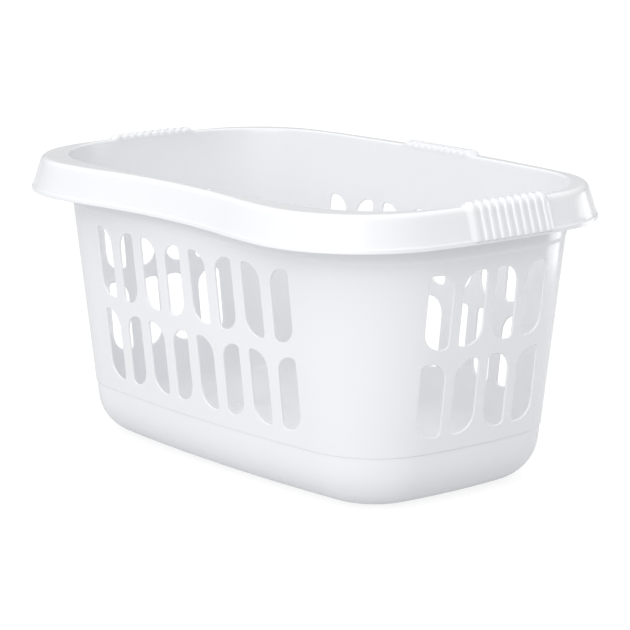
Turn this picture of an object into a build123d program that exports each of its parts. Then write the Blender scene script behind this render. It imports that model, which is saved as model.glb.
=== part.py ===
from build123d import *
import math
import os

# Hip-hugging laundry basket, one white polypropylene moulding, modelled as the panels,
# corners, base, rim and grips that its own lines divide it into.
# Frame: origin on the floor under the middle of the basket's box, +Z up, +X along the
# length, and the curved hip side faces -Y. All sizes are in millimetres.

# Body: barrel-sided, tapered, rounded at the corners
wall_centre_y = 1.6          # the body sits a little behind the middle of the rim
half_length_base = 237.1     # at the floor, before the base edge is rounded
half_length_slope = 0.128    # growth per millimetre of height
half_width_base = 135.8
half_width_slope = 0.1127
side_radius = 1850.0         # bow of the two long walls
end_radius = 666.0           # bow of the two end walls
corner_radius_base = 70.4
corner_radius_slope = 0.1472
wall_thickness = 2.5
floor_thickness = 2.5

# Heights of the moulding's lines
rim_top = 293.7
skirt_bottom = 259.8
ledge_height = 243.7         # the plain band above the slots stands proud from here up
pan_top = 55.1               # the base pan is set in a little below this line
band_proud = 0.8
pan_inset = 0.7
base_edge_radius = 45.0

# Slots: two rows, eight columns on the long walls and four on the ends
slot_height = 72.4
slot_row_bottoms = (71.4, 157.3)
slot_pitch = 40.0
side_slot_width = 25.2
end_slot_width = 28.0
side_slot_columns = 8
end_slot_columns = 4
slot_large_radius = 18.3     # a slot has two broad and two tight corners, set crosswise
slot_small_radius = 4.7

# Rim: a flat collar that turns down into a flared skirt
rim_half_length = 292.0
rim_back_y = 193.5
rim_hip_y = 182.8            # distance of the skirt from the middle, at the hip recess
hip_radius = 632.0           # hollow of the hip recess
hip_arc_half_width = 102.0
bulge_radius = 465.0         # the two swellings beside the recess
front_corner_radius = 120.0
back_corner_radius = 114.0
rim_end_radius = 801.5
rim_back_radius = 1542.0
skirt_flare = 0.318          # outward run per millimetre of drop
shoulder_radius = 6.6
rim_thickness = 2.4

# Grips: ribbed pads wrapped over the rim, on both ends and on the back
grip_half_width = 53.5
end_grip_centre_y = 4.5      # the grips on the ends sit a little towards the back
grip_pad_out = 2.0           # how far the pad and its ribs stand out from the skirt
grip_rib_out = 3.5
grip_pad_up = 2.4            # and how far they stand above the collar
grip_rib_up = 4.5
grip_rib_pitch = 9.9
grip_rib_width = 5.5
grip_end_rib_width = 11.0
grip_inner_ribs = 8

# Where the moulding is divided into nodes
cut_x = 160.0
cut_y = 82.0
floor_panel_inset = 47.0
reach = 500.0                # larger than the basket, for cutting


def polar(centre, radius, angle):
    return (centre[0] + radius * math.cos(angle), centre[1] + radius * math.sin(angle))


def angle_to(start, end):
    return math.atan2(end[1] - start[1], end[0] - start[0])


def arc_span(centre, radius, start, end):
    """Start, middle and end points of one arc."""
    return [polar(centre, radius, a) for a in (start, (start + end) / 2, end)]


def nested_centre(centre_a, reach_a, centre_b, reach_b):
    """Centre of an arc that lies inside two larger arcs and touches both."""
    gap = math.dist(centre_a, centre_b)
    along = (reach_a**2 - reach_b**2 + gap**2) / (2 * gap)
    across = math.sqrt(reach_a**2 - along**2)
    heading = angle_to(centre_a, centre_b)
    foot = polar(centre_a, along, heading)
    both = [polar(foot, side * across, heading + math.pi / 2) for side in (1, -1)]
    return max(both, key=lambda point: point[0] + point[1])


def scaled(spans, sx, sy):
    return [[(sx * x, sy * y) for x, y in span] for span in spans]


def mirrored(spans, sx, sy):
    return [span[::-1] for span in scaled(spans, sx, sy)][::-1]


def closed_wire(back, front, centre_y, z):
    """Closed outline from the back and front quarters, both drawn in the first quadrant."""
    loop = back + mirrored(back, -1, 1) + scaled(front, -1, -1) + mirrored(front, 1, -1)
    edges = [ThreePointArc(*[(x, y + centre_y, z) for x, y in span]) for span in loop]
    return Wire(edges)


def side_quarter(half_length, half_width, long_radius, short_radius, corner, inset):
    """End arc, corner arc and side arc of a barrel-sided rounded rectangle."""
    end_centre = (half_length - short_radius, 0)
    side_centre = (0, half_width - long_radius)
    corner_centre = nested_centre(side_centre, long_radius - corner, end_centre, short_radius - corner)
    end_angle = angle_to(end_centre, corner_centre)
    side_angle = angle_to(side_centre, corner_centre)
    return [
        arc_span(end_centre, short_radius - inset, 0, end_angle),
        arc_span(corner_centre, corner - inset, end_angle, side_angle),
        arc_span(side_centre, long_radius - inset, side_angle, math.pi / 2),
    ]


def hip_quarter(inset):
    """End arc, corner arc, bulge arc and the hollow hip arc of the rim's front."""
    end_centre = (rim_half_length - rim_end_radius, 0)
    hip_centre = (0, rim_hip_y + hip_radius)
    turn = -math.acos(hip_arc_half_width / hip_radius)
    joint = polar(hip_centre, hip_radius, turn)
    bulge_centre = polar(joint, bulge_radius, turn)
    corner = front_corner_radius
    corner_centre = nested_centre(
        bulge_centre, bulge_radius - corner, end_centre, rim_end_radius - corner
    )
    end_angle = angle_to(end_centre, corner_centre)
    bulge_angle = angle_to(bulge_centre, corner_centre)
    return [
        arc_span(end_centre, rim_end_radius - inset, 0, end_angle),
        arc_span(corner_centre, corner - inset, end_angle, bulge_angle),
        arc_span(bulge_centre, bulge_radius - inset, bulge_angle, turn + math.pi),
        arc_span(hip_centre, hip_radius + inset, turn, -math.pi / 2),
    ]


def body_wire(z, inset):
    quarter = side_quarter(
        half_length_base + half_length_slope * z,
        half_width_base + half_width_slope * z,
        side_radius,
        end_radius,
        corner_radius_base + corner_radius_slope * z,
        inset,
    )
    return closed_wire(quarter, quarter, wall_centre_y, z)


def body_block(inset, bottom, top):
    """The body as a full block, its walls moved in by inset."""
    return Solid.make_loft([body_wire(bottom, inset), body_wire(top, inset)], ruled=True)


def rim_wire(z, inset):
    back = side_quarter(
        rim_half_length, rim_back_y, rim_back_radius, rim_end_radius, back_corner_radius, inset
    )
    return closed_wire(back, hip_quarter(inset), 0, z)


def rim_block(inset, bottom, top, shoulder):
    """The rim as a full block with a flared side and a rounded shoulder."""
    insets = [inset + skirt_flare * (z - skirt_bottom) for z in (bottom, top)]
    block = Solid.make_loft([rim_wire(bottom, insets[0]), rim_wire(top, insets[1])], ruled=True)
    top_edges = block.faces().sort_by(Axis.Z)[-1].edges()
    return fillet(top_edges, shoulder)


def slab(x_range, y_range, z_range):
    """A box between two values on each axis."""
    spans = (x_range, y_range, z_range)
    size = [high - low for low, high in spans]
    middle = [(low + high) / 2 for low, high in spans]
    return Pos(*middle) * Box(*size)


def slot_outline(width, height, radii):
    """Face with the corner radii top left, top right, bottom right and bottom left."""
    w, h = width / 2, height / 2
    corners = [(-w, h), (w, h), (w, -h), (-w, -h)]
    entry = [(0, -1), (-1, 0), (0, 1), (1, 0)]
    leave = [(1, 0), (0, -1), (-1, 0), (0, 1)]
    edges = []
    starts = []
    ends = []
    for (x, y), (ax, ay), (bx, by), r in zip(corners, entry, leave, radii):
        bend = r * (1 - math.sqrt(0.5))
        start = (x + ax * r, y + ay * r)
        middle = (x + (ax + bx) * bend, y + (ay + by) * bend)
        end = (x + bx * r, y + by * r)
        edges.append(ThreePointArc(start, middle, end))
        starts.append(start)
        ends.append(end)
    for index in range(4):
        edges.append(Line(ends[index - 1], starts[index]))
    return make_face(Wire(edges))


def slot_radii(column):
    """Neighbouring slots lean opposite ways."""
    radii = (slot_small_radius, slot_large_radius, slot_small_radius, slot_large_radius)
    return radii if column % 2 == 0 else radii[::-1]


def slot_cutters(columns, width, facing, along):
    """All slots of one wall, seen from outside, pushed through that wall only."""
    cutters = []
    for bottom in slot_row_bottoms:
        for column in range(columns):
            shift = (column - (columns - 1) / 2) * slot_pitch
            origin = Vector(*along) * shift + Vector(0, 0, bottom + slot_height / 2)
            face = slot_outline(width, slot_height, slot_radii(column))
            placed = Plane(origin=origin, x_dir=along, z_dir=facing) * face
            cutters.append(extrude(placed, amount=reach, dir=facing))
    return cutters


def save(shape, name):
    export_step(shape, f"parts/{name}.step")


def plan_sectors():
    """Four sides and four corners, as boxes that divide the basket in plan."""
    tall = (-50, 400)
    low_y, high_y = wall_centre_y - cut_y, wall_centre_y + cut_y
    columns = {"left": (-reach, -cut_x), "right": (cut_x, reach)}
    sectors = {
        "front": slab((-cut_x, cut_x), (-reach, wall_centre_y), tall),
        "back": slab((-cut_x, cut_x), (wall_centre_y, reach), tall),
    }
    for side, x_range in columns.items():
        sectors[side] = slab(x_range, (low_y, high_y), tall)
        sectors["front_" + side] = slab(x_range, (-reach, low_y), tall)
        sectors["back_" + side] = slab(x_range, (high_y, reach), tall)
    return sectors


def base_pan():
    outer = body_block(pan_inset, 0, pan_top)
    outer = fillet(outer.faces().sort_by(Axis.Z)[0].edges(), base_edge_radius)
    inner = body_block(wall_thickness, floor_thickness, pan_top + 5)
    inner_radius = base_edge_radius - wall_thickness
    inner = fillet(inner.faces().sort_by(Axis.Z)[0].edges(), inner_radius)
    return outer - inner


def band_block():
    """The proud upper band as a full block, run past the rim's top so that it can cut the rim."""
    return body_block(-band_proud, ledge_height, rim_top + 10)


def slotted_body():
    belt = body_block(0, pan_top, ledge_height)
    band = band_block() & slab((-reach, reach), (-reach, reach), (ledge_height, rim_top))
    body = belt + band - body_block(wall_thickness, pan_top, rim_top + 10)
    walls = (
        (side_slot_columns, side_slot_width, (0, -1, 0), (1, 0, 0)),
        (side_slot_columns, side_slot_width, (0, 1, 0), (-1, 0, 0)),
        (end_slot_columns, end_slot_width, (1, 0, 0), (0, 1, 0)),
        (end_slot_columns, end_slot_width, (-1, 0, 0), (0, -1, 0)),
    )
    for wall in walls:
        body = body - slot_cutters(*wall)
    return body


def rim_shell():
    outer = rim_block(0, skirt_bottom, rim_top, shoulder_radius)
    hollow = rim_block(
        rim_thickness, skirt_bottom - 5, rim_top - rim_thickness, shoulder_radius - rim_thickness
    )
    return outer - hollow - band_block()


def grip_layer(out, up, spans, along_x):
    """What a skin this thick adds to the rim between pairs of positions."""
    skin = rim_block(-out, skirt_bottom, rim_top + up, shoulder_radius + out)
    core = rim_block(0, skirt_bottom - 10, rim_top, shoulder_radius)
    skin = skin - core - body_block(wall_thickness, skirt_bottom - 10, rim_top + 20)
    tall = (skirt_bottom - 20, rim_top + 20)
    pieces = []
    for low, high in spans:
        if along_x:
            pieces.append(skin & slab((low, high), (100, reach), tall))
        else:
            pieces.append(skin & slab((200, reach), (low, high), tall))
    return pieces


def grip(centre, along_x):
    """Ribbed pad: a thin skin with raised ribs, broader at its two ends."""
    low, high = centre - grip_half_width, centre + grip_half_width
    ribs = [(low, low + grip_end_rib_width), (high - grip_end_rib_width, high)]
    for index in range(grip_inner_ribs):
        middle = centre + (index - (grip_inner_ribs - 1) / 2) * grip_rib_pitch
        ribs.append((middle - grip_rib_width / 2, middle + grip_rib_width / 2))
    pad = grip_layer(grip_pad_out, grip_pad_up, [(low, high)], along_x)[0]
    return pad.fuse(*grip_layer(grip_rib_out, grip_rib_up, ribs, along_x))


os.makedirs("parts", exist_ok=True)

sector_boxes = plan_sectors()
pan = base_pan()
body_walls = slotted_body()
rim = rim_shell()

floor_prism = extrude(make_face(body_wire(0, floor_panel_inset)), amount=floor_thickness + 10)
save(pan & floor_prism, "base_floor")
base_edge = pan - floor_prism

for sector, box in sector_boxes.items():
    save(base_edge & box, "base_edge_" + sector)
    save(body_walls & box, "wall_" + sector)
    save(rim & box, "rim_" + sector)

right_grip = grip(end_grip_centre_y, along_x=False)
save(right_grip, "grip_right")
save(mirror(right_grip, about=Plane.YZ), "grip_left")
save(grip(0, along_x=True), "grip_back")
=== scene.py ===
import functools
import math

import bpy
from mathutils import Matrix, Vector


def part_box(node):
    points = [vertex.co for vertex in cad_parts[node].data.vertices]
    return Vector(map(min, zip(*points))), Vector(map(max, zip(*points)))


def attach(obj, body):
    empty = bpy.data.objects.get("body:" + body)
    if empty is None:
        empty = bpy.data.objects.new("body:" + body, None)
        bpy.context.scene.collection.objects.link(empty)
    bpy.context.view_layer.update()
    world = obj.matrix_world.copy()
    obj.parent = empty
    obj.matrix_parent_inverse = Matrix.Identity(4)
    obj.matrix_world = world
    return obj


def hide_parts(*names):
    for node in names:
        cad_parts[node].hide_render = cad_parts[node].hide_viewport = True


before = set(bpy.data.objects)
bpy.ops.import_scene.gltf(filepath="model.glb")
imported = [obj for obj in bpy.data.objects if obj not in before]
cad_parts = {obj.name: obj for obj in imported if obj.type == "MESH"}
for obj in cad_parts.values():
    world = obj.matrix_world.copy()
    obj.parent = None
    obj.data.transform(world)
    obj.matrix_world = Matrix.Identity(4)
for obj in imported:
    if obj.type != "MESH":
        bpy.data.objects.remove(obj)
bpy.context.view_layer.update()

# An open laundry basket moulded in white plastic. Its visible skin is built here from the
# plan outlines that the CAD uses, as smooth closed meshes: base, slotted walls, rim and
# three ribbed grips. Lengths are in metres; heights and reaches come from the frame.

MM = 0.001

# ---- Reaches and heights, from the frame ----

PAN_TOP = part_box("base_edge_front")[1].z
SKIRT_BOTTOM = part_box("rim_front")[0].z
RIM_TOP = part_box("rim_front")[1].z
RIM_HALF_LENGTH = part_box("rim_right")[1].x
RIM_BACK_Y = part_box("rim_back")[1].y
GRIP_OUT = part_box("grip_right")[1].x - RIM_HALF_LENGTH
GRIP_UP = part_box("grip_right")[1].z - RIM_TOP
GRIP_ENDS_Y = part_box("grip_right")[0].y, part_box("grip_right")[1].y
GRIP_HALF_WIDTH = (GRIP_ENDS_Y[1] - GRIP_ENDS_Y[0]) / 2
END_GRIP_CENTRE_Y = (GRIP_ENDS_Y[1] + GRIP_ENDS_Y[0]) / 2

# ---- The moulding's own shape, as in the CAD ----

BAND_PROUD = 0.8 * MM
WALL_THICKNESS = 2.5 * MM
FLOOR_THICKNESS = 2.5 * MM
PAN_INSET = 0.7 * MM
BASE_EDGE_RADIUS = 45 * MM
LEDGE_HEIGHT = 243.7 * MM

BODY_CENTRE_Y = (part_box("wall_back")[1].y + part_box("wall_front")[0].y) / 2
BODY_HALF_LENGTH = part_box("wall_right")[1].x - BAND_PROUD      # at the rim's top
BODY_HALF_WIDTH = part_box("wall_back")[1].y - BODY_CENTRE_Y - BAND_PROUD
LENGTH_SLOPE = 0.128
WIDTH_SLOPE = 0.1127
SIDE_RADIUS = 1850 * MM
END_RADIUS = 666 * MM
CORNER_RADIUS_BASE = 70.4 * MM
CORNER_SLOPE = 0.1472

RIM_HIP_Y = 182.8 * MM
HIP_RADIUS = 632 * MM
HIP_ARC_HALF_WIDTH = 102 * MM
BULGE_RADIUS = 465 * MM
FRONT_CORNER_RADIUS = 120 * MM
BACK_CORNER_RADIUS = 114 * MM
RIM_END_RADIUS = 801.5 * MM
RIM_BACK_RADIUS = 1542 * MM
SKIRT_FLARE = 0.318
SHOULDER_RADIUS = 6.6 * MM
RIM_THICKNESS = 2.4 * MM

SLOT_HEIGHT = 72.4 * MM
SLOT_ROW_BOTTOMS = (71.4 * MM, 157.3 * MM)
SLOT_PITCH = 40 * MM
SIDE_SLOTS = 8
END_SLOTS = 4
SIDE_SLOT_WIDTH = 25.2 * MM
END_SLOT_WIDTH = 28 * MM
SLOT_LARGE_RADIUS = 18.3 * MM
SLOT_SMALL_RADIUS = 4.7 * MM

# ---- Softer edges than the CAD has ----

PAN_TOP_EDGE = 0.5 * MM        # roundings of the pan's top edge
WALL_FOOT_EDGE = 0.6 * MM      # and of the walls' lower edge, which stands on it
LEDGE_HALF_HEIGHT = 1.75 * MM
# (height from the ledge's middle, in its half heights, and share of its depth)
LEDGE_CURVE = [(-1.3, 0), (-1, 0.04), (-0.8, 0.13), (0.8, 0.87), (1, 0.96), (1.3, 1)]
SLOT_EDGE_RADIUS = 0.9 * MM
SLOT_LAND = 1.6 * SLOT_EDGE_RADIUS       # how far round a slot the faces keep to its outline

INNER_EDGE_RADIUS = 2.2 * MM
UNDERSIDE_RADIUS = 1.0 * MM
RIM_JOIN = 289 * MM            # above this height the rim's piece takes over from the walls'
LIP_HEIGHT = 4.2 * MM          # the upright lip along the skirt's lower edge
LIP_EDGE_RADIUS = 1.0 * MM
LIP_INSET = 0.25 * MM          # the lip's face, at its top
LIP_FOOT_INSET = 0.1 * MM      # and just above its lower edge
LIP_TOP = SKIRT_BOTTOM + LIP_HEIGHT
SKIRT_FOOT = LIP_TOP + 1.2 * MM          # where the skirt starts to curve out to the lip
LIP_CURVE_START = (0.5 * MM, 0.35 * MM)  # height above the lip, and reach out of the skirt's foot
# Then (depth below the lip's top, and inset from its face)
LIP_CURVE = [(0, 0.55 * MM), (0.5 * MM, 0.15 * MM), (1.0 * MM, 0)]

GRIP_PAD_SHARE = 0.55          # of a grip's thickness; its ribs add the rest
GRIP_END_SLOPE = 7.5 * MM      # how far from its ends a grip rises to its full thickness
GROOVE_PITCH = 9.9 * MM
GROOVE_COUNT = 9
GROOVE_FLOOR = 1.6 * MM        # half widths of a groove between two ribs, at its bottom
GROOVE_MOUTH = 3.3 * MM        # and at the ribs' tops
GRIP_NOSE_RADIUS = 4.6 * MM    # a grip's inner top edge
GRIP_NOSE_LEAST = 1.5 * MM     # the same at the grip's two ends
GRIP_INNER_REACH = 3.2 * MM    # how far a grip's swelling runs down inside the basket
GRIP_INNER_PROUD = 0.3 * MM
GRIP_BOTTOM = LIP_TOP - 1.6 * MM
GRIP_BOTTOM_HEIGHT = 2.2 * MM  # over which a grip's lower edge curves in to the rim
GRIP_SUNK = 0.6 * MM           # how deep a grip's edges end in the rim
GRIP_BURIED = 2 * GRIP_SUNK    # how deep its hidden side lies

# ---- Mesh density ----

BASE_EDGE_STEPS = 12           # round the pan's lower edge
FLOOR_RINGS = (0.985, 0.8, 0.5, 0.2)     # rings of faces in the floor, as shares of its outline
ARC_STEPS = 10                 # round each corner of a slot
ACROSS_STEPS = 2               # along a slot's short straight edges
DOWN_STEPS = 6                 # along its long ones
CORNER_STEPS = 32              # round each corner of the basket
FILLET_STEPS = 4
CELL_CLEARANCE = 3 * MM        # from the slots' cells up to the next row of faces
BAND_STEPS = 4                 # up the band over the ledge
INNER_EDGE_STEPS = 5
COLLAR_RINGS = (0.08, 0.5, 0.92)         # rows of points across the collar
SHOULDER_STEPS = 8
SKIRT_STEPS = 5                # down the skirt's outside
SKIRT_INSIDE_STEPS = 4
GRIP_INNER_STEPS = 8           # up a grip's inner side
GRIP_SUNK_STEPS = 2            # the first of them, in which it comes out of the wall
GRIP_NOSE_STEPS = 6
GRIP_OUTER_STEPS = 7
GRIP_BOTTOM_STEPS = 5
GRIP_HIDDEN_ROWS = (0.05, 0.5, 0.9)      # up its hidden side, as shares of the skirt's height
GRIP_END_STEPS = 14            # along a grip's sloping end
GROOVE_SIDE_STEPS = 7          # along each side of a groove
SHARP_ANGLE = math.radians(42)
CELL_COLUMNS = ARC_STEPS + ACROSS_STEPS
CELL_ROWS = ARC_STEPS + DOWN_STEPS
CELL_MARGIN = (SLOT_ROW_BOTTOMS[1] - SLOT_ROW_BOTTOMS[0] - SLOT_HEIGHT) / 2
CELL_HEIGHT = SLOT_HEIGHT + 2 * CELL_MARGIN
CELL_BOTTOMS = [bottom - CELL_MARGIN for bottom in SLOT_ROW_BOTTOMS]


# ---- Plan outlines ----

ROUNDING = 1e-9                # slack when a place is looked up


def angle_to(start, end):
    return math.atan2(end[1] - start[1], end[0] - start[0])


def nested_centre(centre_a, reach_a, centre_b, reach_b):
    """Centre of an arc that lies inside two larger arcs and touches both."""
    gap = math.dist(centre_a, centre_b)
    along = (reach_a**2 - reach_b**2 + gap**2) / (2 * gap)
    across = math.sqrt(reach_a**2 - along**2)
    turn = angle_to(centre_a, centre_b)
    foot_x = centre_a[0] + along * math.cos(turn)
    foot_y = centre_a[1] + along * math.sin(turn)
    shift_x, shift_y = -across * math.sin(turn), across * math.cos(turn)
    both = [(foot_x + s * shift_x, foot_y + s * shift_y) for s in (1, -1)]
    return max(both, key=lambda point: point[0] + point[1])


class Quarter:
    """A quarter of a plan outline, from the end of the basket round to its side.

    Each arc is (centre, radius, first angle, last angle), the angles being those of its
    outward normal. A hollow arc has a negative radius, so one formula serves both."""

    def __init__(self, arcs):
        self.arcs = arcs
        self.lengths = [abs(r * (b - a)) for _, r, a, b in arcs]
        self.corner_start = self.length_to(*self.find_y(END_SLOTS / 2 * SLOT_PITCH))
        self.corner_stop = self.length_to(*self.find_x(SIDE_SLOTS / 2 * SLOT_PITCH))

    def place(self, index, angle, inset):
        """Point (x, y) and outward normal (x, y) on an arc, moved in by inset."""
        centre, radius, _, _ = self.arcs[index]
        nx, ny = math.cos(angle), math.sin(angle)
        reach = radius - inset
        return centre[0] + reach * nx, centre[1] + reach * ny, nx, ny

    def find_x(self, x):
        """The arc, and the angle on it, at which the outline's side has an x."""
        for index, (centre, radius, _, last) in enumerate(self.arcs):
            if centre[0] + radius * math.cos(last) <= x + ROUNDING:
                return index, math.acos((x - centre[0]) / radius)

    def find_y(self, y):
        """The same for a y, from the outline's end."""
        for index, (centre, radius, _, last) in enumerate(self.arcs):
            if centre[1] + radius * math.sin(last) >= y - ROUNDING:
                return index, math.asin((y - centre[1]) / radius)

    def length_to(self, index, angle):
        """Length of the outline from its start to an angle on one of its arcs."""
        _, radius, first, _ = self.arcs[index]
        return sum(self.lengths[:index]) + abs(radius * (angle - first))

    def find_share(self, share):
        """A place in the rounded corner, by its share of the way from end to side."""
        length = self.corner_start + share * (self.corner_stop - self.corner_start)
        index = 0
        while index < len(self.arcs) - 1 and length > self.lengths[index]:
            length -= self.lengths[index]
            index += 1
        _, radius, first, last = self.arcs[index]
        return index, first + math.copysign(length / abs(radius), last - first)


def side_quarter(half_length, half_width, long_radius, short_radius, corner):
    """Bowed end, rounded corner and bowed side."""
    end_centre = (half_length - short_radius, 0)
    side_centre = (0, half_width - long_radius)
    corner_centre = nested_centre(
        side_centre, long_radius - corner, end_centre, short_radius - corner
    )
    end_angle = angle_to(end_centre, corner_centre)
    side_angle = angle_to(side_centre, corner_centre)
    return Quarter([
        (end_centre, short_radius, 0, end_angle),
        (corner_centre, corner, end_angle, side_angle),
        (side_centre, long_radius, side_angle, math.pi / 2),
    ])


def hip_quarter():
    """Bowed end and rounded corner, then a side that bulges out and dips in for the hip."""
    end_centre = (RIM_HALF_LENGTH - RIM_END_RADIUS, 0)
    hip_centre = (0, RIM_HIP_Y + HIP_RADIUS)
    turn = -math.acos(HIP_ARC_HALF_WIDTH / HIP_RADIUS)
    reach = HIP_RADIUS + BULGE_RADIUS
    bulge_centre = (reach * math.cos(turn), hip_centre[1] + reach * math.sin(turn))
    corner = FRONT_CORNER_RADIUS
    corner_centre = nested_centre(
        bulge_centre, BULGE_RADIUS - corner, end_centre, RIM_END_RADIUS - corner
    )
    end_angle = angle_to(end_centre, corner_centre)
    bulge_angle = angle_to(bulge_centre, corner_centre)
    joint_angle = turn + math.pi
    return Quarter([
        (end_centre, RIM_END_RADIUS, 0, end_angle),
        (corner_centre, corner, end_angle, bulge_angle),
        (bulge_centre, BULGE_RADIUS, bulge_angle, joint_angle),
        (hip_centre, -HIP_RADIUS, joint_angle, math.pi / 2),
    ])


@functools.lru_cache(maxsize=None)
def body_quarter(z):
    return side_quarter(
        BODY_HALF_LENGTH - LENGTH_SLOPE * (RIM_TOP - z),
        BODY_HALF_WIDTH - WIDTH_SLOPE * (RIM_TOP - z),
        SIDE_RADIUS,
        END_RADIUS,
        CORNER_RADIUS_BASE + CORNER_SLOPE * z,
    )


RIM_BACK_QUARTER = side_quarter(
    RIM_HALF_LENGTH, RIM_BACK_Y, RIM_BACK_RADIUS, RIM_END_RADIUS, BACK_CORNER_RADIUS
)
RIM_FRONT_QUARTER = hip_quarter()


# ---- Stations: places round the plan, anticlockwise from the right end ----
# A station is (x sign, y sign, kind, value). Its kind says how the place is found in a
# quarter: "y" on an end wall, "x" on a long wall, "share" in a rounded corner.

def on_wall(wall, along):
    """Station at a distance along a wall from its middle, to the right as seen from outside."""
    if wall == "right":
        return (1, math.copysign(1, along), "y", abs(along))
    if wall == "left":
        return (-1, -math.copysign(1, along), "y", abs(along))
    if wall == "front":
        return (math.copysign(1, along), -1, "x", abs(along))
    return (-math.copysign(1, along), 1, "x", abs(along))


# Number of slots in a row, and their width
WALLS = {
    "right": (END_SLOTS, END_SLOT_WIDTH),
    "back": (SIDE_SLOTS, SIDE_SLOT_WIDTH),
    "left": (END_SLOTS, END_SLOT_WIDTH),
    "front": (SIDE_SLOTS, SIDE_SLOT_WIDTH),
}
# Signs of x and y in the corner that follows each wall
CORNER_AFTER = {"right": (1, 1), "back": (-1, 1), "left": (-1, -1), "front": (1, -1)}


def all_stations():
    """Every station of the basket's grid, and where each wall starts among them."""
    stations = []
    starts = {}
    for wall, (slots, _) in WALLS.items():
        starts[wall] = len(stations)
        columns = slots * CELL_COLUMNS
        for column in range(columns + 1):
            stations.append(on_wall(wall, (column / columns - 0.5) * slots * SLOT_PITCH))
        rising = wall in ("right", "left")
        for step in range(1, CORNER_STEPS):
            share = step / CORNER_STEPS if rising else 1 - step / CORNER_STEPS
            stations.append((*CORNER_AFTER[wall], "share", share))
    return stations, starts


STATIONS, WALL_STARTS = all_stations()


def plan_place(quarter, centre_y, station, inset):
    """Point (x, y) and outward normal (x, y) of an outline at a station, moved in by inset."""
    sign_x, sign_y, kind, value = station
    find = {"x": quarter.find_x, "y": quarter.find_y, "share": quarter.find_share}[kind]
    x, y, nx, ny = quarter.place(*find(value), inset)
    return sign_x * x, centre_y + sign_y * y, sign_x * nx, sign_y * ny


def body_point(station, z, inset):
    x, y, _, _ = plan_place(body_quarter(z), BODY_CENTRE_Y, station, inset)
    return Vector((x, y, z))


def rim_point(station, z, inset):
    quarter = RIM_BACK_QUARTER if station[1] > 0 else RIM_FRONT_QUARTER
    x, y, _, _ = plan_place(quarter, 0, station, inset)
    return Vector((x, y, z))


def body_slope(station):
    """How far the wall moves outward, square to itself, for each metre of height."""
    rise = 10 * MM
    _, _, nx, ny = plan_place(body_quarter(0), BODY_CENTRE_Y, station, 0)
    move = body_point(station, rise, 0) - body_point(station, 0, 0)
    return (move.x * nx + move.y * ny) / rise


# ---- Mesh making ----

class Skin:
    """Points and faces of one closed mesh."""

    def __init__(self):
        self.points = []
        self.faces = []

    def add(self, point):
        self.points.append(point)
        return len(self.points) - 1

    def row(self, points):
        return [self.add(point) for point in points]

    def bridge(self, first, second, closed=True):
        """Quads between two rows of the same length."""
        count = len(first)
        for k in range(count if closed else count - 1):
            n = (k + 1) % count
            self.faces.append((first[k], first[n], second[n], second[k]))

    def fan(self, row, point):
        """Triangles from a closed row to a point."""
        centre = self.add(point)
        for k in range(len(row)):
            self.faces.append((row[k], row[(k + 1) % len(row)], centre))

    def build(self, name):
        mesh = bpy.data.meshes.new(name)
        mesh.from_pydata(self.points, [], self.faces)
        mesh.polygons.foreach_set("use_smooth", [True] * len(mesh.polygons))
        mesh.set_sharp_from_angle(angle=SHARP_ANGLE)
        mesh.validate()
        piece = bpy.data.objects.new(name, mesh)
        bpy.context.scene.collection.objects.link(piece)
        return piece


# ---- Base ----

def base_levels(station, inset, radius, floor_z):
    """(height, inset) pairs of a wall that turns into the floor, from the floor up."""
    slope = body_slope(station)
    lean = math.atan(slope)
    run = radius * math.tan((math.pi / 2 - lean) / 2)
    levels = []
    for step in range(BASE_EDGE_STEPS + 1):
        turn = (math.pi / 2 - lean) * step / BASE_EDGE_STEPS
        z = radius * (1 - math.cos(turn))
        levels.append((floor_z + z, inset + slope * z + run - radius * math.sin(turn)))
    return levels


def make_base():
    skin = Skin()
    outer = [base_levels(s, PAN_INSET, BASE_EDGE_RADIUS, 0) for s in STATIONS]
    inner_radius = BASE_EDGE_RADIUS - WALL_THICKNESS
    inner = [base_levels(s, WALL_THICKNESS, inner_radius, FLOOR_THICKNESS) for s in STATIONS]
    edge = PAN_TOP_EDGE
    for levels in outer:
        levels += [(PAN_TOP - edge, PAN_INSET), (PAN_TOP - edge / 3, PAN_INSET + edge / 8)]
        levels.append((PAN_TOP, PAN_INSET + edge / 2))
    for levels in inner:
        levels += [(PAN_TOP - edge, WALL_THICKNESS), (PAN_TOP, WALL_THICKNESS)]

    def rows(all_levels):
        return [
            skin.row([body_point(s, *levels[i]) for s, levels in zip(STATIONS, all_levels)])
            for i in range(len(all_levels[0]))
        ]

    outside, inside = rows(outer), rows(inner)
    for low, high in zip(outside, outside[1:]):
        skin.bridge(low, high)
    skin.bridge(outside[-1], inside[-1])
    for low, high in zip(inside, inside[1:]):
        skin.bridge(high, low)
    for ring, z, up in ((outside[0], 0, False), (inside[0], FLOOR_THICKNESS, True)):
        middle = Vector((0, BODY_CENTRE_Y, z))
        outline = [skin.points[i] for i in ring]
        for share in FLOOR_RINGS:
            next_ring = skin.row([middle + (p - middle) * share for p in outline])
            skin.bridge(*((ring, next_ring) if up else (next_ring, ring)))
            ring = next_ring
        skin.fan(ring if up else ring[::-1], middle)
    return skin.build("basket_base")


# ---- Slotted walls ----

def slot_radii(column):
    """Corner radii, first for top left and bottom right, then for the other two."""
    pair = (SLOT_SMALL_RADIUS, SLOT_LARGE_RADIUS)
    return pair if column % 2 == 0 else pair[::-1]


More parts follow.
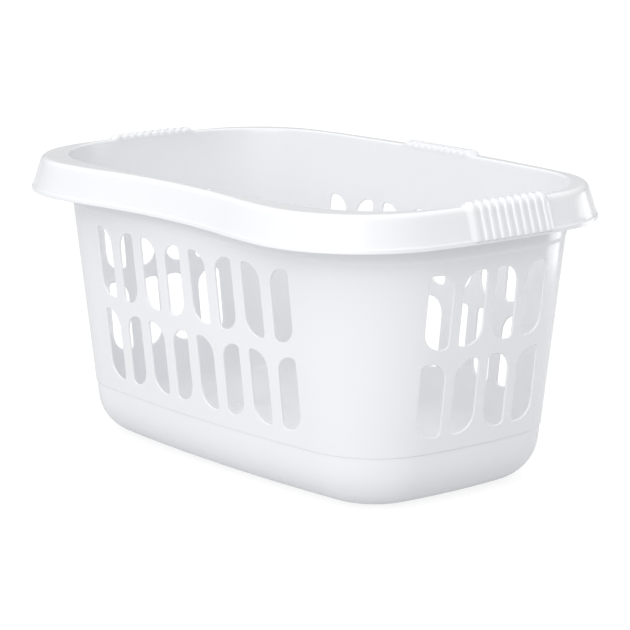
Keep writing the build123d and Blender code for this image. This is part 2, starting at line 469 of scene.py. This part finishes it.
def slot_loop(width, radii, grow):
    """A slot's outline about its own middle, widened by grow, from halfway round its lower left."""
    first, second = radii
    half_w, half_h = width / 2, SLOT_HEIGHT / 2
    corners = [(-1, -1, second), (1, -1, first), (1, 1, second), (-1, 1, first)]
    loop = []
    for turn, (sx, sy, radius) in enumerate(corners):
        cx, cy = sx * (half_w - radius), sy * (half_h - radius)
        start = math.pi + turn * math.pi / 2
        reach = radius + grow
        arc = []
        for step in range(ARC_STEPS + 1):
            angle = start + math.pi / 2 * step / ARC_STEPS
            arc.append((cx + reach * math.cos(angle), cy + reach * math.sin(angle)))
        if loop:
            loop += between(loop[-1], arc[0], ACROSS_STEPS if turn % 2 else DOWN_STEPS)
        loop += arc
    loop += between(loop[-1], loop[0], DOWN_STEPS)
    return loop[ARC_STEPS // 2:] + loop[:ARC_STEPS // 2]


def between(a, b, steps):
    """The points strictly between two points, evenly spaced."""
    shares = [step / steps for step in range(1, steps)]
    return [(a[0] + (b[0] - a[0]) * t, a[1] + (b[1] - a[1]) * t) for t in shares]


def cell_loop():
    """The boundary of a slot's cell about its middle, point for point with slot_loop."""
    half_w, half_h = SLOT_PITCH / 2, CELL_HEIGHT / 2
    corners = [(-half_w, -half_h), (half_w, -half_h), (half_w, half_h), (-half_w, half_h)]
    loop = []
    for index, corner in enumerate(corners):
        steps = CELL_ROWS if index % 2 else CELL_COLUMNS
        loop += [corner] + between(corner, corners[(index + 1) % 4], steps)
    return loop


def wall_levels():
    """(height, outer inset) of each row of the walls, and the first row of each row of cells."""
    edge = WALL_FOOT_EDGE
    levels = [(PAN_TOP, edge), (PAN_TOP + 0.3 * edge, 0.3 * edge), (PAN_TOP + edge, 0)]
    levels.append((PAN_TOP + 3 * edge, 0))
    cell_rows = []
    for bottom in CELL_BOTTOMS:
        cell_rows.append(len(levels))
        for row in range(CELL_ROWS):
            levels.append((bottom + CELL_HEIGHT * row / CELL_ROWS, 0))
    top = CELL_BOTTOMS[-1] + CELL_HEIGHT
    levels += [(top, 0), (top + CELL_CLEARANCE, 0)]
    for rise, share in LEDGE_CURVE:
        levels.append((LEDGE_HEIGHT + rise * LEDGE_HALF_HEIGHT, -share * BAND_PROUD))
    band_bottom = levels[-1][0]
    for step in range(1, BAND_STEPS + 1):
        z = band_bottom + (RIM_JOIN - band_bottom) * step / BAND_STEPS
        levels.append((z, -BAND_PROUD))
    return levels, cell_rows


def make_walls():
    skin = Skin()
    levels, cell_rows = wall_levels()
    grid = {}

    def corner(side, row, k):
        """Point of the outer (0) or inner (1) grid, made when it is first asked for."""
        k %= len(STATIONS)
        if (side, row, k) not in grid:
            z, inset = levels[row]
            depth = WALL_THICKNESS if side else inset
            grid[side, row, k] = skin.add(body_point(STATIONS[k], z, depth))
        return grid[side, row, k]

    cells = {}
    for wall, (slots, _) in WALLS.items():
        for column in range(slots):
            for row, first in enumerate(cell_rows):
                cells[WALL_STARTS[wall] + column * CELL_COLUMNS, first] = (wall, column, row)
    covered = {
        (k + dk, first + di)
        for k, first in cells for dk in range(CELL_COLUMNS) for di in range(CELL_ROWS)
    }
    for row in range(len(levels) - 1):
        for k in range(len(STATIONS)):
            if (k, row) in covered:
                continue
            for side in (0, 1):
                quad = [
                    corner(side, row, k), corner(side, row, k + 1),
                    corner(side, row + 1, k + 1), corner(side, row + 1, k),
                ]
                skin.faces.append(quad[::-1] if side else quad)
    for row, flip in ((0, True), (len(levels) - 1, False)):
        outer = [corner(0, row, k) for k in range(len(STATIONS))]
        inner = [corner(1, row, k) for k in range(len(STATIONS))]
        skin.bridge(*((inner, outer) if flip else (outer, inner)))
    for (k, first), (wall, column, row) in cells.items():
        add_slot(skin, corner, k, first, wall, column, row)
    return skin.build("basket_walls")


def add_slot(skin, corner, k, first, wall, column, row):
    """The land round one slot, its rounded edges and its tunnel through the wall."""
    slots, width = WALLS[wall]
    radii = slot_radii(column)
    middle_u = (column - (slots - 1) / 2) * SLOT_PITCH
    middle_z = SLOT_ROW_BOTTOMS[row] + SLOT_HEIGHT / 2
    border = cell_loop()
    r = SLOT_EDGE_RADIUS

    def ring(grow, depth, share=0.0):
        """The slot's outline, widened by grow and moved by share towards its cell's boundary."""
        loop = slot_loop(width, radii, grow)
        points = []
        for (u, v), (bu, bv) in zip(loop, border):
            place = on_wall(wall, middle_u + u + (bu - u) * share)
            points.append(body_point(place, middle_z + v + (bv - v) * share, depth))
        return skin.row(points)

    def border_ring(side):
        low, high = first, first + CELL_ROWS
        right = k + CELL_COLUMNS
        ring_points = [corner(side, low, k + i) for i in range(CELL_COLUMNS)]
        ring_points += [corner(side, low + i, right) for i in range(CELL_ROWS)]
        ring_points += [corner(side, high, right - i) for i in range(CELL_COLUMNS)]
        ring_points += [corner(side, high - i, k) for i in range(CELL_ROWS)]
        return ring_points

    rings = [border_ring(0), ring(r, 0, 0.5), ring(SLOT_LAND, 0)]
    turns = [math.pi / 2 * step / FILLET_STEPS for step in range(FILLET_STEPS + 1)]
    rings += [ring(r * (1 - math.sin(t)), r * (1 - math.cos(t))) for t in turns]
    deep = WALL_THICKNESS - r
    rings += [ring(r * (1 - math.cos(t)), deep + r * math.sin(t)) for t in turns]
    rings += [ring(SLOT_LAND, WALL_THICKNESS), ring(r, WALL_THICKNESS, 0.5), border_ring(1)]
    for outer, inner in zip(rings, rings[1:]):
        skin.bridge(outer, inner)


# ---- Rim ----

def skirt_inset(z):
    """How far the skirt's outside lies in from its lower edge, at a height."""
    return SKIRT_FLARE * (z - SKIRT_BOTTOM)


LEAN = math.atan(SKIRT_FLARE)
SHOULDER_INSET = skirt_inset(RIM_TOP) + SHOULDER_RADIUS * math.tan((math.pi / 2 - LEAN) / 2)


def shoulder_levels():
    """(height, inset) round the shoulder, from the collar to the skirt."""
    levels = []
    for step in range(SHOULDER_STEPS + 1):
        turn = (math.pi / 2 - LEAN) * step / SHOULDER_STEPS
        z = RIM_TOP - SHOULDER_RADIUS * (1 - math.cos(turn))
        levels.append((z, SHOULDER_INSET - SHOULDER_RADIUS * math.sin(turn)))
    return levels


def skirt_levels():
    """(height, inset) down the skirt's outside, round its lip and up its inside."""
    levels = shoulder_levels()
    top = levels[-1][0]
    for step in range(1, SKIRT_STEPS + 1):
        z = top + (SKIRT_FOOT - top) * step / SKIRT_STEPS
        levels.append((z, skirt_inset(z)))
    rise, reach = LIP_CURVE_START
    levels.append((LIP_TOP + rise, skirt_inset(SKIRT_FOOT) - reach))
    levels += [(LIP_TOP - drop, LIP_INSET + inset) for drop, inset in LIP_CURVE]
    r = LIP_EDGE_RADIUS
    levels.append((SKIRT_BOTTOM + 1.4 * r, LIP_FOOT_INSET))
    for step in range(FILLET_STEPS + 1):
        turn = math.pi / 2 * step / FILLET_STEPS
        levels.append((SKIRT_BOTTOM + r * (1 - math.sin(turn)), r * (1 - math.cos(turn))))
    thick = RIM_THICKNESS
    for step in range(FILLET_STEPS + 1):
        turn = math.pi / 2 * step / FILLET_STEPS
        z = SKIRT_BOTTOM + r * (1 - math.cos(turn))
        levels.append((z, skirt_inset(z) + thick - r * (1 - math.sin(turn))))
    underside = RIM_TOP - thick
    low, high = SKIRT_BOTTOM + 2 * r, underside - UNDERSIDE_RADIUS
    for step in range(SKIRT_INSIDE_STEPS + 1):
        z = low + (high - low) * step / SKIRT_INSIDE_STEPS
        levels.append((z, skirt_inset(z) + thick))
    for step in range(1, FILLET_STEPS + 1):
        turn = math.pi / 2 * step / FILLET_STEPS
        z = high + UNDERSIDE_RADIUS * math.sin(turn)
        levels.append((z, skirt_inset(high) + thick + UNDERSIDE_RADIUS * (1 - math.cos(turn))))
    return levels


def make_rim():
    skin = Skin()

    def body_row(z, inset):
        return skin.row([body_point(s, z, inset) for s in STATIONS])

    r = INNER_EDGE_RADIUS
    rows = [body_row(RIM_JOIN, WALL_THICKNESS)]
    for step in range(INNER_EDGE_STEPS + 1):
        turn = math.pi / 2 * step / INNER_EDGE_STEPS
        z = RIM_TOP - r * (1 - math.sin(turn))
        rows.append(body_row(z, WALL_THICKNESS - r * (1 - math.cos(turn))))
    edge = rows[-1]
    levels = skirt_levels()
    shoulder = skin.row([rim_point(s, *levels[0]) for s in STATIONS])
    for share in COLLAR_RINGS:
        ends = zip([skin.points[i] for i in edge], [skin.points[i] for i in shoulder])
        rows.append(skin.row([a.lerp(b, share) for a, b in ends]))
    rows.append(shoulder)
    rows += [skin.row([rim_point(s, *level) for s in STATIONS]) for level in levels[1:]]
    underside = RIM_TOP - RIM_THICKNESS
    u = UNDERSIDE_RADIUS
    for step in range(FILLET_STEPS + 1):
        turn = math.pi / 2 * step / FILLET_STEPS
        z = underside - u * (1 - math.cos(turn))
        rows.append(body_row(z, -BAND_PROUD - u * (1 - math.sin(turn))))
    rows.append(body_row(RIM_JOIN, -BAND_PROUD))
    for first, second in zip(rows, rows[1:] + rows[:1]):
        skin.bridge(second, first)
    return skin.build("basket_rim")


# ---- Grips ----

def ease(share):
    """0 to 1 along a soft S, held at its ends."""
    return 0.5 - 0.5 * math.cos(math.pi * max(0.0, min(1.0, share)))


def groove_middles():
    """Distances along a grip of the middles of its grooves."""
    return [(k - (GROOVE_COUNT - 1) / 2) * GROOVE_PITCH for k in range(GROOVE_COUNT)]


def rib_height(along):
    """1 on a rib, 0 in the bottom of a groove."""
    away = min(abs(along - middle) for middle in groove_middles())
    return ease((away - GROOVE_FLOOR) / (GROOVE_MOUTH - GROOVE_FLOOR))


def end_height(along):
    """Falls from 1 to 0 down the slopes at a grip's two ends."""
    return ease((GRIP_HALF_WIDTH - abs(along)) / GRIP_END_SLOPE)


def grip_stops():
    """Distances along a grip of its sections, close together where its height changes."""
    crest = GRIP_HALF_WIDTH - GRIP_END_SLOPE
    spans = [(-GRIP_HALF_WIDTH, -crest, GRIP_END_STEPS)]
    for middle in groove_middles():
        spans.append((middle - GROOVE_MOUTH, middle - GROOVE_FLOOR, GROOVE_SIDE_STEPS))
        spans.append((middle + GROOVE_FLOOR, middle + GROOVE_MOUTH, GROOVE_SIDE_STEPS))
    spans.append((crest, GRIP_HALF_WIDTH, GRIP_END_STEPS))
    return [a + (b - a) * step / steps for a, b, steps in spans for step in range(steps + 1)]


def grip_section(station, along):
    """Closed section of a grip: up the inner wall, over the rim and down the skirt, then back
    inside the rim's thickness, where it isn't seen."""
    ends = end_height(along)
    share = (GRIP_PAD_SHARE + (1 - GRIP_PAD_SHARE) * rib_height(along)) * ends
    up, out = GRIP_UP * share, GRIP_OUT * share
    nose = min(GRIP_NOSE_RADIUS, up + GRIP_NOSE_LEAST)
    top = RIM_TOP + up
    foot = RIM_TOP - GRIP_INNER_REACH
    brow = top - nose
    points = []
    for step in range(GRIP_INNER_STEPS + 1):
        rise = ease(step / GRIP_INNER_STEPS)
        sunk = GRIP_SUNK * (1 - min(1, step / GRIP_SUNK_STEPS))
        proud = GRIP_INNER_PROUD * ends * rise - sunk
        z = foot + (brow - foot) * step / GRIP_INNER_STEPS
        points.append(body_point(station, z, WALL_THICKNESS + proud))
    inner = WALL_THICKNESS + GRIP_INNER_PROUD * ends
    for step in range(1, GRIP_NOSE_STEPS + 1):
        turn = math.pi / 2 * step / GRIP_NOSE_STEPS
        lift = body_point(station, RIM_TOP, inner - nose * (1 - math.cos(turn)))
        points.append(Vector((lift.x, lift.y, brow + nose * math.sin(turn))))
    start = points[-1]
    shoulder = []
    for step in range(SHOULDER_STEPS + 1):
        turn = (math.pi / 2 - LEAN) * step / SHOULDER_STEPS
        reach = SHOULDER_RADIUS + math.hypot(out * math.sin(turn), up * math.cos(turn))
        z = RIM_TOP - SHOULDER_RADIUS + reach * math.cos(turn)
        shoulder.append(rim_point(station, z, SHOULDER_INSET - reach * math.sin(turn)))
    points.append(start.lerp(shoulder[0], 0.5))
    points += shoulder
    high = shoulder[-1].z
    lower = GRIP_BOTTOM + GRIP_BOTTOM_HEIGHT
    for step in range(1, GRIP_OUTER_STEPS + 1):
        z = high + (lower - high) * step / GRIP_OUTER_STEPS
        points.append(rim_point(station, z, skirt_inset(z) - out))
    for step in range(1, GRIP_BOTTOM_STEPS + 1):
        turn = math.pi / 2 * step / GRIP_BOTTOM_STEPS
        z = lower - (lower - GRIP_BOTTOM) * math.sin(turn)
        sunk = GRIP_SUNK * (1 - math.cos(turn))
        points.append(rim_point(station, z, skirt_inset(z) - out * math.cos(turn) + sunk))
    for share in GRIP_HIDDEN_ROWS:
        z = GRIP_BOTTOM + (high - GRIP_BOTTOM) * share
        points.append(rim_point(station, z, skirt_inset(z) + GRIP_BURIED))
    hidden_top = RIM_TOP - GRIP_BURIED
    points.append(rim_point(station, hidden_top, SHOULDER_INSET))
    points.append(body_point(station, hidden_top, WALL_THICKNESS - GRIP_BURIED))
    return points


def make_grip(wall):
    skin = Skin()
    shift = 0 if wall == "back" else END_GRIP_CENTRE_Y
    if wall == "left":
        shift = -shift
    rows = [skin.row(grip_section(on_wall(wall, along + shift), along)) for along in grip_stops()]
    for first, second in zip(rows, rows[1:]):
        skin.bridge(first, second)
    for row, flip in ((rows[0], True), (rows[-1], False)):
        middle = sum((skin.points[i] for i in row), Vector()) / len(row)
        skin.fan(row[::-1] if flip else row, middle)
    return skin.build("grip_" + wall + "_pad")


# ---- Materials ----

class Nodes:
    """Short calls for the nodes of one material."""

    def __init__(self, tree):
        self.nodes, self.links = tree.nodes, tree.links

    def add(self, kind, **settings):
        node = self.nodes.new("ShaderNode" + kind)
        for key, value in settings.items():
            setattr(node, key, value)
        return node

    def feed(self, node, inputs):
        for key, value in inputs.items():
            if isinstance(value, bpy.types.NodeSocket):
                self.links.new(value, node.inputs[key])
            else:
                node.inputs[key].default_value = value

    def noise(self, place, scale, detail=2.0, roughness=0.5):
        node = self.add("TexNoise")
        self.feed(node, {"Vector": place, "Scale": scale, "Detail": detail, "Roughness": roughness})
        return node.outputs["Fac"]

    def stretch(self, place, scale):
        node = self.add("Mapping")
        self.feed(node, {"Vector": place, "Scale": scale})
        return node.outputs["Vector"]

    def ramp(self, value, low, high, out_low=0.0, out_high=1.0):
        node = self.add("MapRange", interpolation_type="SMOOTHSTEP")
        self.feed(node, {0: value, 1: low, 2: high, 3: out_low, 4: out_high})
        return node.outputs["Result"]

    def math(self, operation, first, second=0.0):
        node = self.add("Math", operation=operation)
        self.feed(node, {0: first, 1: second})
        return node.outputs["Value"]

    def blend(self, share, first, second):
        node = self.add("Mix", data_type="RGBA")
        self.feed(node, {0: share, 6: first, 7: second})
        return node.outputs[2]

    def bump(self, height, distance, strength=1.0, normal=None):
        node = self.add("Bump")
        self.feed(node, {"Height": height, "Distance": distance, "Strength": strength})
        if normal:
            self.feed(node, {"Normal": normal})
        return node.outputs["Normal"]


CLEAN = (0.815, 0.825, 0.850, 1)
WARM = (0.823, 0.828, 0.844, 1)
SCUFFED = (0.76, 0.76, 0.76, 1)

# Noise scales, in features to the metre, and how some are drawn out
CLOUD_SCALE = 7                # slow drift of colour and gloss
SWIRL_SCALE = 26               # mould ripple
GRAIN_SCALE = 1500
STREAK_SCALE = 60              # scuffs
SPECK_SCALE = 420              # chips on the edges, and fine changes of gloss
UPRIGHT = (1, 1, 0.35)
LEVEL = (1, 1, 9)

# Values between which a noise, or the surface's pointiness, takes effect
TINT_RANGE = (0.35, 0.65)
GLOSS_RANGE = (0.3, 0.7)
SCUFF_RANGE = (0.56, 0.68)
CHIP_RANGE = (0.52, 0.66)
EDGE_RANGE = (0.53, 0.60)
OUTSIDE_RANGE = (0.04, -0.04)  # the upward part of the normal, which is negative outside

ROUGHNESS = (0.15, 0.20)       # drifts between these
SPECK_ROUGHNESS = 0.015        # more or less, in specks
WORN_ROUGHNESS = 0.22          # more where worn
GRAIN_DEPTH = 0.006 * MM
GRAIN_STRENGTH = 0.6
WORN_DEPTH = 0.04 * MM
WORN_STRENGTH = 0.5


def plastic(name, ripple, worn_from, worn_to, wear, outside_only=False):
    """White moulded polypropylene. It wears between two heights, most at the second.

    With outside_only, only faces that look a little downwards are scuffed: on the walls and
    the base, those are the outside ones.
    """
    material = bpy.data.materials.new(name)
    material.use_nodes = True
    kit = Nodes(material.node_tree)
    shader = kit.nodes["Principled BSDF"]
    place = kit.add("TexCoord").outputs["Object"]
    height = kit.add("SeparateXYZ")
    kit.feed(height, {"Vector": place})
    cloud = kit.noise(place, CLOUD_SCALE, detail=3)
    swirl = kit.noise(kit.stretch(place, UPRIGHT), SWIRL_SCALE)
    grain = kit.noise(place, GRAIN_SCALE)
    streaks = kit.noise(kit.stretch(place, LEVEL), STREAK_SCALE, detail=4, roughness=0.65)
    specks = kit.noise(place, SPECK_SCALE, detail=3, roughness=0.7)
    surface = kit.add("NewGeometry")
    edge = kit.ramp(surface.outputs["Pointiness"], *EDGE_RANGE)
    zone = kit.ramp(height.outputs["Z"], worn_from, worn_to)
    if outside_only:
        slope = kit.add("SeparateXYZ")
        kit.feed(slope, {"Vector": surface.outputs["Normal"]})
        zone = kit.math("MULTIPLY", zone, kit.ramp(slope.outputs["Z"], *OUTSIDE_RANGE))
    scuffs = kit.math("MULTIPLY", kit.ramp(streaks, *SCUFF_RANGE), zone)
    chips = kit.math("MULTIPLY", kit.ramp(specks, *CHIP_RANGE), edge)
    worn = kit.math("MULTIPLY", kit.math("MAXIMUM", scuffs, chips), wear)
    tint = kit.blend(kit.ramp(cloud, *TINT_RANGE), CLEAN, WARM)
    drift = kit.ramp(cloud, *GLOSS_RANGE, *ROUGHNESS)
    speckle = kit.ramp(specks, *GLOSS_RANGE, -SPECK_ROUGHNESS, SPECK_ROUGHNESS)
    rough = kit.math("ADD", drift, speckle)
    moulded = kit.bump(swirl, ripple)
    moulded = kit.bump(grain, GRAIN_DEPTH, GRAIN_STRENGTH, moulded)
    kit.feed(shader, {
        "Base Color": kit.blend(worn, tint, SCUFFED),
        "Roughness": kit.math("ADD", rough, kit.math("MULTIPLY", worn, WORN_ROUGHNESS)),
        "IOR": 1.49,
        "Normal": kit.bump(worn, -WORN_DEPTH, WORN_STRENGTH, moulded),
    })
    return material


# ---- Build the object ----

base = make_base()
walls = make_walls()
rim = make_rim()
grips = {wall: make_grip(wall) for wall in ("right", "left", "back")}

sides = ["front", "back", "left", "right", "front_left", "front_right", "back_left", "back_right"]
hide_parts("base_floor", *["base_edge_" + side for side in sides])
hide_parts(*["wall_" + side for side in sides])
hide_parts(*["rim_" + side for side in sides])
for wall, grip in grips.items():
    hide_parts("grip_" + wall)

finishes = {
    "base_plastic": plastic(
        "base_plastic",
        ripple=0.30 * MM,
        worn_from=22 * MM,
        worn_to=2 * MM,
        wear=0.9,
        outside_only=True,
    ),
    "wall_plastic": plastic(
        "wall_plastic",
        ripple=0.35 * MM,
        worn_from=120 * MM,
        worn_to=50 * MM,
        wear=0.35,
        outside_only=True,
    ),
    "rim_plastic": plastic(
        "rim_plastic",
        ripple=0.22 * MM,
        worn_from=SKIRT_BOTTOM + 20 * MM,
        worn_to=SKIRT_BOTTOM,
        wear=0.4,
    ),
    "grip_plastic": plastic(
        "grip_plastic",
        ripple=0.12 * MM,
        worn_from=RIM_TOP - 10 * MM,
        worn_to=RIM_TOP + GRIP_UP,
        wear=0.5,
    ),
}
pieces = [(base, "base_plastic"), (walls, "wall_plastic"), (rim, "rim_plastic")]
pieces += [(grip, "grip_plastic") for grip in grips.values()]
for piece, slot in pieces:
    piece.data.materials.append(finishes[slot])
    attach(piece, "root")


# ---- Floor, light and camera ----

def heading(azimuth, elevation):
    """Unit vector, with azimuth 0 towards the viewer of the hip side."""
    azimuth, elevation = math.radians(azimuth), math.radians(elevation)
    flat = math.cos(elevation)
    return Vector((math.sin(azimuth) * flat, -math.cos(azimuth) * flat, math.sin(elevation)))


def add_softbox(name, azimuth, elevation, distance, size, radiance):
    """A rectangular light of a given radiance, facing the middle of the basket at its rim."""
    data = bpy.data.lights.new(name, "AREA")
    data.shape = "RECTANGLE"
    data.size, data.size_y = size
    data.energy = radiance * math.pi * size[0] * size[1]
    lamp = bpy.data.objects.new(name, data)
    away = heading(azimuth, elevation)
    lamp.location = Vector((0, 0, SKIRT_BOTTOM)) + away * distance
    lamp.rotation_mode = "QUATERNION"
    lamp.rotation_quaternion = away.to_track_quat("Z", "Y")
    lamp.visible_camera = False
    bpy.context.scene.collection.objects.link(lamp)


# Brightness of the room near the floor, by azimuth in degrees: darker behind and to the right
ROOM = [(-180, 0.4), (-110, 0.4), (-60, 0.68), (20, 0.97), (56, 0.86), (90, 0.18), (165, 0.35)]
CEILING = 1.32
CEILING_FROM, CEILING_TO = 0.2, 0.85       # sines of the elevations between which it takes over

FLOOR_SIZE = 40
FLOOR_ROUGHNESS = 0.9


def make_room():
    """Light from all round, by azimuth near the floor and even overhead."""
    world = bpy.data.worlds.new("studio")
    bpy.context.scene.world = world
    world.use_nodes = True
    kit = Nodes(world.node_tree)
    way = kit.add("SeparateXYZ")
    kit.feed(way, {"Vector": kit.add("TexCoord").outputs["Generated"]})
    back = kit.math("MULTIPLY", way.outputs["Y"], -1.0)
    turn = kit.math("ARCTAN2", way.outputs["X"], back)
    ramp = kit.add("ValToRGB")
    kit.feed(ramp, {"Fac": kit.math("ADD", kit.math("DIVIDE", turn, 2 * math.pi), 0.5)})
    stops = ramp.color_ramp.elements
    while len(stops) < len(ROOM):
        stops.new(0.5)
    for stop, (azimuth, level) in zip(stops, ROOM):
        stop.position = azimuth / 360 + 0.5
        stop.color = (level, level, level, 1)
    ceiling = (CEILING, CEILING, CEILING, 1)
    rise = kit.ramp(way.outputs["Z"], CEILING_FROM, CEILING_TO)
    kit.feed(kit.nodes["Background"], {"Color": kit.blend(rise, ramp.outputs["Color"], ceiling)})


def set_matte(kit, shader, grey, glow, strength):
    """A dull grey surface that glows a little."""
    kit.feed(shader, {
        "Base Color": (grey, grey, grey, 1),
        "Roughness": FLOOR_ROUGHNESS,
        "Specular IOR Level": 0.0,
        "Emission Color": glow,
        "Emission Strength": strength,
    })


def make_floor():
    """A pale floor, white to look at, that lights the basket from below like a lit grey table."""
    bpy.ops.mesh.primitive_plane_add(size=FLOOR_SIZE, location=(0, 0, 0))
    floor = bpy.context.object
    floor.name = "studio_floor"
    material = bpy.data.materials.new("studio_floor")
    material.use_nodes = True
    kit = Nodes(material.node_tree)
    seen = kit.nodes["Principled BSDF"]
    set_matte(kit, seen, grey=0.28, glow=(1, 1, 1, 1), strength=0.78)
    bounced = kit.add("BsdfPrincipled")
    set_matte(kit, bounced, grey=0.40, glow=(0.96, 0.97, 1, 1), strength=0.37)
    both = kit.add("MixShader")
    is_seen = kit.add("LightPath").outputs["Is Camera Ray"]
    kit.feed(both, {0: is_seen, 1: bounced.outputs[0], 2: seen.outputs[0]})
    kit.feed(kit.nodes["Material Output"], {"Surface": both.outputs[0]})
    floor.data.materials.append(material)


scene = bpy.context.scene
scene.view_settings.view_transform = "Standard"
make_room()
make_floor()
add_softbox(
    "key_softbox", azimuth=31, elevation=20, distance=2.5, size=(1.7, 1.1), radiance=2.5
)
add_softbox(
    "back_panel", azimuth=160, elevation=-7, distance=0.9, size=(0.40, 0.46), radiance=2.4
)

CAMERA_AZIMUTH = 50.476
CAMERA_ELEVATION = 12.065
CAMERA_DISTANCE = 2.7166
CAMERA_AIM = Vector((0.0056, -0.00025, 0.143))
CAMERA_LENS = 154.02           # millimetres, as the sensor's width
CAMERA_SENSOR = 36
CAMERA_SHIFT = (0.0023, -0.0011)
camera_data = bpy.data.cameras.new("camera")
camera_data.lens = CAMERA_LENS
camera_data.sensor_width = CAMERA_SENSOR
camera_data.shift_x, camera_data.shift_y = CAMERA_SHIFT
camera = bpy.data.objects.new("camera", camera_data)
toward_camera = heading(CAMERA_AZIMUTH, CAMERA_ELEVATION)
camera.location = CAMERA_AIM + toward_camera * CAMERA_DISTANCE
camera.rotation_mode = "QUATERNION"
camera.rotation_quaternion = (-toward_camera).to_track_quat("-Z", "Y")
scene.collection.objects.link(camera)
scene.camera = camera
